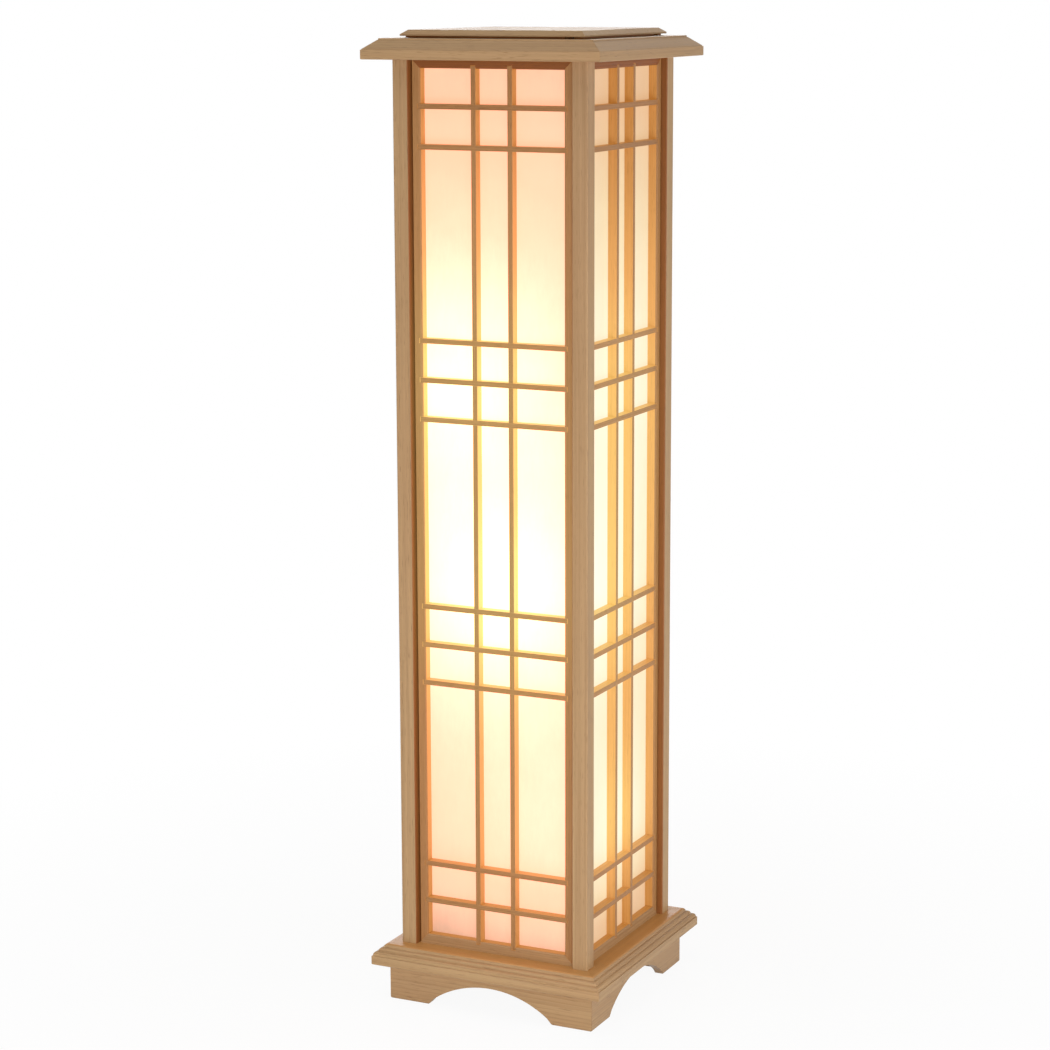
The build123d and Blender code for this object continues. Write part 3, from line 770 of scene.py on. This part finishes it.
def frame_members(shape: bmesh.types.BMesh) -> list[list[bmesh.types.BMVert]]:
    """Sorts the loose faces of an upright mitred frame by the stile or rail that they belong to.

    The mitres run at 45 degrees, so a point just under a face's skin lies nearest to the outer edge of its
    own member, also where two members touch.

    Args:
        shape: the frame's mesh, whose faces share no vertices yet.

    Returns:
        The vertices of each member.
    """
    low = Vector(min(v.co[axis] for v in shape.verts) for axis in range(3))
    high = Vector(max(v.co[axis] for v in shape.verts) for axis in range(3))
    level = 0 if high.x - low.x > high.y - low.y else 1
    members: list[dict[bmesh.types.BMVert, None]] = [{} for _ in range(4)]
    for face in shape.faces:
        inside = face.calc_center_median() - face.normal * UNDER_SKIN
        gaps = (inside[level] - low[level], high[level] - inside[level], inside.z - low.z, high.z - inside.z)
        members[gaps.index(min(gaps))].update(dict.fromkeys(face.verts))
    return [list(member) for member in members]


def eased_mesh(node: str, arris: float, cut: Cut, shade: Shading, mitred: bool) -> bpy.types.Mesh:
    """A copy of a node's mesh with its sharp arrises eased, and its grain and painted light and shade stored.

    Args:
        node: the CAD node to copy.
        arris: how far each arris is taken back.
        cut: how its sticks were sawn.
        shade: gives each face's painted light and painted shade.
        mitred: whether it is an upright frame of four mitred members.

    Returns:
        The new mesh.
    """
    shape = bmesh.new()
    shape.from_mesh(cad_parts[node].data)
    for member in frame_members(shape) if mitred else [list(shape.verts)]:
        bmesh.ops.remove_doubles(shape, verts=member, dist=MERGE)
    bmesh.ops.dissolve_limit(shape, angle_limit=FLAT_WITHIN, verts=shape.verts, edges=shape.edges)
    sharp = [e for e in shape.edges if len(e.link_faces) == 2 and e.calc_face_angle(0.0) > SHARP_EDGE]
    bmesh.ops.bevel(shape, geom=sharp, offset=arris, segments=ARRIS_FACETS, profile=0.5,
                    affect="EDGES", clamp_overlap=True)
    store_grain(shape, node, cut)
    painted_sheet_light = shape.faces.layers.float.new("painted_sheet_light")
    painted_shade = shape.faces.layers.float.new("painted_shade")
    for face in shape.faces:
        face[painted_sheet_light], face[painted_shade] = shade(face)
    shape.verts.index_update()
    mesh = bpy.data.meshes.new(node + "_eased")
    shape.to_mesh(mesh)
    shape.free()
    smooth_by_angle(mesh)
    return mesh


def wooden(node: str, body: Body = Body.CABINET, arris: float = 0.00035, cut: Cut = Cut.RIFT,
           shade: Shading = plain_shade, mitred: bool = False) -> bpy.types.Object:
    """Puts an eased, grained piece of wood in a node's place.

    Args:
        node: the CAD node that it stands for.
        body: the body that it moves with.
        arris: how far the arrises are taken back.
        cut: how its sticks were sawn.
        shade: gives each face's painted light and painted shade.
        mitred: whether it is an upright frame of four mitred members.

    Returns:
        The wooden piece.
    """
    piece = new_object(node + "_wood", eased_mesh(node, arris, cut, shade, mitred), WOOD, body.value)
    flat = piece.modifiers.new("flat_faces", "WEIGHTED_NORMAL")
    flat.keep_sharp = True
    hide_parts(node)
    return piece


def turned_mesh(name: str, outline: Sequence[tuple[float, float]], centre: Point, steps: int = 64,
                wave: Optional[Callable[[float, float, float], float]] = None) -> bpy.types.Mesh:
    """Turns a closed or axis-to-axis outline about a vertical axis.

    Args:
        name: the mesh's name.
        outline: (radius, height) points, from bottom to top; a radius of 0 closes an end.
        centre: the axis' place, and the height that the outline counts from.
        steps: facets round the axis.
        wave: gives the radius from (radius, height, angle), for threads and flutes.

    Returns:
        The mesh.
    """
    shape = bmesh.new()
    rings = []
    for radius, height in outline:
        if radius == 0.0:
            rings.append([shape.verts.new((centre[0], centre[1], centre[2] + height))])
            continue
        ring = []
        for step in range(steps):
            angle = 2 * math.pi * step / steps
            out = wave(radius, height, angle) if wave else radius
            ring.append(shape.verts.new((centre[0] + out * math.cos(angle), centre[1] + out * math.sin(angle),
                                         centre[2] + height)))
        rings.append(ring)
    for lower, upper in zip(rings, rings[1:]):
        for step in range(steps):
            after = (step + 1) % steps
            corners = [lower[step % len(lower)], lower[after % len(lower)], upper[after % len(upper)],
                       upper[step % len(upper)]]
            face = list(dict.fromkeys(corners))
            if len(face) > 2:
                shape.faces.new(face)
    bmesh.ops.recalc_face_normals(shape, faces=shape.faces)
    mesh = bpy.data.meshes.new(name)
    shape.to_mesh(mesh)
    shape.free()
    smooth_by_angle(mesh)
    return mesh


# ---- sub-assemblies -----------------------------------------------------------------------------
@dataclass
class SubAssembly:
    """What every sub-assembly has: a name for the log and a way to be built."""

    title: str = "part"

    def build(self) -> list[bpy.types.Object]:
        """Makes and dresses the pieces; each sub-assembly has its own way."""
        raise NotImplementedError


@dataclass
class BracketFoot(SubAssembly):
    """Four arched aprons, and the glue blocks in their corners."""

    title: str = "bracket foot"
    arris: float = 0.00045

    def build(self) -> list[bpy.types.Object]:
        """Makes the aprons and blocks of wood."""
        names = [f"apron_{side.value}" for side in Side] + ["glue_blocks"]
        return [wooden(name, arris=self.arris, cut=Cut.RIFT) for name in names]


@dataclass
class Base(SubAssembly):
    """The reeded base moulding, the bottom board and the cord's grommet."""

    title: str = "base"
    arris: float = 0.0003

    def build(self) -> list[bpy.types.Object]:
        """Makes the wooden pieces and dresses the grommet and screws.

        Returns:
            The pieces.
        """
        pieces = [wooden(f"base_moulding_{side.value}", arris=self.arris, shade=base_shade) for side in Side]
        pieces.append(wooden("bottom_board", cut=Cut.FLAT))
        pieces.append(dress("grommet", RUBBER))
        pieces.append(dress("wood_screws", ZINC))
        return pieces


@dataclass
class Posts(SubAssembly):
    """The four corner posts."""

    title: str = "posts"
    arris: float = 0.00025

    def build(self) -> list[bpy.types.Object]:
        """Makes the posts of wood."""
        return [wooden(f"post_{corner}", arris=self.arris, cut=Cut.QUARTER, shade=post_shade)
                for corner in CORNERS]


@dataclass
class Screen(SubAssembly):
    """One lattice screen: mitred frame, half-lapped lattice, lit sheet and its beads."""

    title: str = "screen"
    side: Side = Side.FRONT
    arris: float = 0.00025

    def build(self) -> list[bpy.types.Object]:
        """Makes the wood of the screen and lights its sheet.

        Returns:
            The pieces.
        """
        woods = {"screen_frame": (frame_shade, True), "lattice_uprights": (lattice_shade, False),
                 "lattice_rails": (lattice_shade, False), "retaining_beads": (lattice_shade, True)}
        pieces = [wooden(f"{name}_{self.side.value}", Body.CABINET, self.arris, Cut.QUARTER, shade, mitred)
                  for name, (shade, mitred) in woods.items()]
        # the left and right panes take the dimmer copy of the sheet: painted shade
        sheet = SHEET if self.side in (Side.FRONT, Side.BACK) else SIDE_SHEET
        pieces.append(dress(f"diffuser_{self.side.value}", sheet))
        return pieces


@dataclass
class Roof(SubAssembly):
    """The four mitred eave mouldings."""

    title: str = "roof"
    arris: float = 0.0004

    def build(self) -> list[bpy.types.Object]:
        """Makes the eaves of wood."""
        return [wooden(f"roof_moulding_{side.value}", arris=self.arris) for side in Side]


@dataclass
class Lid(SubAssembly):
    """The lift-off lid with its battens."""

    title: str = "lid"
    arris: float = 0.0004

    def build(self) -> list[bpy.types.Object]:
        """Makes the lid's wood."""
        return [wooden("lid_board", Body.LID, self.arris, Cut.FLAT),
                wooden("neck_battens", Body.LID, self.arris, Cut.QUARTER, neck_shade),
                wooden("lid_battens", Body.LID, self.arris, Cut.QUARTER)]


@dataclass
class LightStick(SubAssembly):
    """The light batten with brackets, lampholders, leads and terminal block."""

    title: str = "light batten"

    def build(self) -> list[bpy.types.Object]:
        """Makes the batten of wood and dresses the fittings.

        Returns:
            The pieces.
        """
        pieces = [wooden("light_batten"), wooden("foot_blocks")]
        fittings = {"holder_brackets": ZINC, "lampholders": PORCELAIN, "lamp_contacts": BRASS,
                    "terminal_block": WHITE_PLASTIC, "lead_clips": WHITE_PLASTIC, "inner_leads": LEAD_SHEATH}
        pieces += [dress(node, finish) for node, finish in fittings.items()]
        return pieces


@dataclass
class Bulb(SubAssembly):
    """One screw-cap bulb: threaded cap, centre contact and frosted glass."""

    title: str = "bulb"
    storey: Storey = Storey.UPPER
    pitch: float = 0.003629
    thread_deep: float = 0.0009
    thread_foot: float = 0.003
    thread_head: float = 0.020
    crest_gap: float = 0.0004
    tip_share: float = 0.70
    shoulder_share: float = 0.6
    rows: int = 66
    neck_share: float = 0.42
    ball_rows: int = 40

    def __post_init__(self) -> None:
        """Takes the names of the bulb's body and nodes from its storey."""
        self.body = f"bulb_{self.storey.value}"
        self.cap_node = f"bulb_cap_{self.storey.value}"
        self.glass_node = f"bulb_glass_{self.storey.value}"

    def cap_mesh(self) -> bpy.types.Mesh:
        """The rolled thread: a helix pressed into the cap, fading out at both ends.

        Returns:
            The cap's mesh, inside the node's own box.
        """
        low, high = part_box(self.cap_node)
        middle = (low + high) / 2
        tall = high.z - low.z
        crest = (high.x - low.x) / 2 - self.crest_gap
        shoulder = self.thread_foot * self.shoulder_share
        outline = [(0.0, 0.0), (crest * self.tip_share, 0.0)]
        outline += [(crest, shoulder + (tall - shoulder) * row / self.rows) for row in range(self.rows + 1)]
        outline.append((0.0, tall))

        def thread(radius: float, height: float, angle: float) -> float:
            """The cap's radius at a height and angle.

            Args:
                radius: the plain cap's radius there.
                height: above the cap's foot.
                angle: round the axis, in radians.

            Returns:
                The radius with the thread pressed in.
            """
            rise = min(max((height - self.thread_foot) / self.pitch, 0.0), 1.0)
            fall = min(max((self.thread_head - height) / self.pitch, 0.0), 1.0)
            wave = 0.5 - 0.5 * math.cos(2 * math.pi * height / self.pitch - angle)
            return radius - self.thread_deep * wave * rise * fall if radius == crest else radius

        return turned_mesh(self.cap_node + "_thread", outline, (middle.x, middle.y, low.z), 72, thread)

    def glass_mesh(self) -> bpy.types.Mesh:
        """The blown glass: a ball, and a neck that swells out of the cap to meet it smoothly.

        Returns:
            The glass's mesh, inside the node's own box.
        """
        low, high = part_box(self.glass_node)
        middle = (low + high) / 2
        tall = high.z - low.z
        ball = (high.x - low.x) / 2
        neck = ball * self.neck_share
        centre = tall - ball
        reach = math.hypot(centre, neck)
        lean = math.asin(ball / reach) - math.atan2(neck, centre)
        outline = [(0.0, 0.0), (neck, 0.0)]
        for row in range(self.ball_rows):
            angle = -lean + (math.pi / 2 + lean) * row / self.ball_rows
            outline.append((ball * math.cos(angle), centre + ball * math.sin(angle)))
        outline.append((0.0, tall))
        return turned_mesh(self.glass_node + "_blown", outline, (middle.x, middle.y, low.z), 64)

    def build(self) -> list[bpy.types.Object]:
        """Makes the threaded cap and the blown glass, and dresses the contact.

        Returns:
            The pieces.
        """
        cap = new_object(self.cap_node + "_threaded", self.cap_mesh(), CAP_METAL, self.body)
        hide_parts(self.cap_node)
        glass = new_object(self.glass_node + "_frosted", self.glass_mesh(), GLASS, self.body)
        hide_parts(self.glass_node)
        return [cap, dress(f"bulb_tip_{self.storey.value}", BRASS), glass]


# ---- studio -------------------------------------------------------------------------------------
@dataclass
class SoftBox:
    """A rectangular lamp that aims at a point."""

    name: str
    place: Point
    size: tuple[float, float]
    watts: float
    colour: Colour = (1.0, 1.0, 1.0)
    aim: Point = (0.0, 0.0, 0.5)

    def build(self) -> bpy.types.Object:
        """Makes the lamp and turns it to its aim.

        Returns:
            The lamp.
        """
        data = bpy.data.lights.new(self.name, "AREA")
        data.shape = "RECTANGLE"
        data.size, data.size_y = self.size
        data.energy = self.watts
        data.color = self.colour
        lamp = bpy.data.objects.new(self.name, data)
        lamp.location = self.place
        lamp.rotation_euler = (Vector(self.aim) - Vector(self.place)).to_track_quat("-Z", "Y").to_euler()
        bpy.context.scene.collection.objects.link(lamp)
        return lamp


@dataclass
class Camera:
    """The camera, by place, turn and lens."""

    place: Point = (1.22772, -2.56889, 1.04969)
    yaw: float = 0.4442
    pitch_down: float = 0.18542
    roll: float = -0.00226
    lens_mm: float = 96.144
    sensor_mm: float = 36.0
    sees_to: float = 60.0
    shift: tuple[float, float] = (-0.01524, -0.02)

    def build(self) -> bpy.types.Object:
        """Makes the camera and gives it to the scene.

        Returns:
            The camera.
        """
        data = bpy.data.cameras.new("camera")
        data.lens = self.lens_mm
        data.sensor_width = self.sensor_mm
        data.shift_x, data.shift_y = self.shift
        data.clip_end = self.sees_to
        camera = bpy.data.objects.new("camera", data)
        turn = (Matrix.Rotation(self.yaw, 4, "Z") @ Matrix.Rotation(math.pi / 2 - self.pitch_down, 4, "X")
                @ Matrix.Rotation(self.roll, 4, "Z"))
        camera.matrix_world = Matrix.Translation(self.place) @ turn
        bpy.context.scene.collection.objects.link(camera)
        bpy.context.scene.camera = camera
        return camera


@dataclass
class Studio:
    """Pale floor that runs up into a backdrop, soft boxes, and an even surround."""

    half_width: float = 9.0
    near: float = -7.0
    bend: float = 5.0
    rise: float = 6.0
    facets: int = 24
    floor_tone: Colour = (0.86, 0.86, 0.855)
    fleck_tone: Colour = (0.8, 0.8, 0.8)
    fleck_share: float = 0.06
    shadow_room: tuple[float, float] = (0.3, 1.0)
    shown_share: tuple[float, float] = (0.93, 1.0)
    surround: float = 0.248
    boxes: list[SoftBox] = field(default_factory=lambda: [
        SoftBox("key_box", (0.35, -3.3, 0.9), (1.6, 1.4), 27.0, aim=(0.0, 0.0, 0.35)),
        SoftBox("foot_box", (0.85, -1.2, 0.3), (1.0, 0.2), 8.0, aim=(0.0, 0.0, 0.04)),
        SoftBox("side_box", (3.3, 0.0, 0.75), (1.6, 1.4), 36.0, (1.0, 0.99, 0.97), aim=(0.0, 0.0, 0.35)),
        SoftBox("rear_box", (-1.8, 3.2, 1.3), (2.0, 2.0), 40.0),
        SoftBox("top_box", (-0.4, -1.0, 3.3), (2.2, 2.2), 33.0)])

    def backdrop_material(self) -> bpy.types.Material:
        """Matt paper that shows as clean white and still keeps the lamp's shadow.

        Returns:
            The material.
        """
        g = Graph("studio_paper")
        place = g.add("ShaderNodeTexCoord").outputs["Object"]
        tooth = g.noise(place, 60.0, 2.0)
        matt = g.add("ShaderNodeBsdfDiffuse")
        paper = g.mix(g.spread(tooth, 0.3, 0.7, 0.0, self.fleck_share), self.floor_tone, self.fleck_tone)
        g.feed(matt.inputs["Color"], paper)
        white = g.add("ShaderNodeEmission")
        rays = g.add("ShaderNodeLightPath")
        seen = g.math("ADD", rays.outputs["Is Camera Ray"], rays.outputs["Is Glossy Ray"], clamp=True)
        seen = g.math("ADD", seen, rays.outputs["Is Transmission Ray"], clamp=True)
        flat = g.vector("MULTIPLY", place, (1.0, 1.0, 0.0)).outputs[0]
        away = g.vector("LENGTH", flat).outputs["Value"]
        share = g.spread(away, *self.shadow_room, *self.shown_share)
        mix = g.add("ShaderNodeMixShader")
        g.feed(mix.inputs[0], g.math("MULTIPLY", seen, share))
        g.feed(mix.inputs[1], matt.outputs[0])
        g.feed(mix.inputs[2], white.outputs[0])
        g.tree.links.new(mix.outputs[0], g.output.inputs["Surface"])
        return g.material

    def backdrop(self) -> bpy.types.Object:
        """Makes the floor and its sweep up behind the lamp.

        Returns:
            The stage object.
        """
        profile = [(self.near, 0.0), (self.bend, 0.0)]
        for facet in range(1, self.facets + 1):
            angle = math.pi / 2 * facet / self.facets
            profile.append((self.bend + self.rise * math.sin(angle), self.rise * (1 - math.cos(angle))))
        profile.append((self.bend + self.rise, self.rise * 2))
        shape = bmesh.new()
        rows = [[shape.verts.new((x, y, z)) for x in (-self.half_width, self.half_width)] for y, z in profile]
        for lower, upper in zip(rows, rows[1:]):
            shape.faces.new((lower[0], lower[1], upper[1], upper[0]))
        mesh = bpy.data.meshes.new("studio_floor")
        shape.to_mesh(mesh)
        shape.free()
        smooth_by_angle(mesh)
        mesh.materials.append(self.backdrop_material())
        floor = bpy.data.objects.new("studio_floor", mesh)
        bpy.context.scene.collection.objects.link(floor)
        return floor

    def surround_light(self) -> None:
        """Lights the scene evenly from all round, and shows white behind the backdrop."""
        world = bpy.data.worlds.new("surround")
        world.use_nodes = True
        tree = world.node_tree
        tree.nodes.clear()
        output = tree.nodes.new("ShaderNodeOutputWorld")
        sky = tree.nodes.new("ShaderNodeBackground")
        sky.inputs["Color"].default_value = (1.0, 1.0, 1.0, 1.0)
        rays = tree.nodes.new("ShaderNodeLightPath")
        strength = tree.nodes.new("ShaderNodeMapRange")
        strength.inputs["To Min"].default_value = self.surround
        strength.inputs["To Max"].default_value = 1.0
        tree.links.new(rays.outputs["Is Camera Ray"], strength.inputs["Value"])
        tree.links.new(strength.outputs["Result"], sky.inputs["Strength"])
        tree.links.new(sky.outputs[0], output.inputs["Surface"])
        bpy.context.scene.world = world

    def build(self) -> None:
        """Sets up floor, light, camera and view."""
        self.backdrop()
        self.surround_light()
        for box in self.boxes:
            box.build()
        Camera().build()
        bpy.context.scene.view_settings.view_transform = "Standard"


# ---- the lamp -----------------------------------------------------------------------------------
def report(title: str, pieces: Iterable[bpy.types.Object]) -> None:
    """Logs the pieces of one sub-assembly."""
    for piece in pieces:
        log.info("%s: %s, %d faces", title, piece.name, len(piece.data.polygons))


def main() -> None:
    """Builds the studio and every sub-assembly in order."""
    logging.basicConfig(level=logging.INFO, format="%(name)s %(message)s")
    Studio().build()
    parts: list[SubAssembly] = [BracketFoot(), Base(), Posts()]
    parts += [Screen(side=side) for side in Side]
    parts += [Roof(), Lid(), LightStick()]
    parts += [Bulb(storey=storey) for storey in Storey]
    for part in parts:
        report(part.title, part.build())


if __name__ == "__main__":
    main()
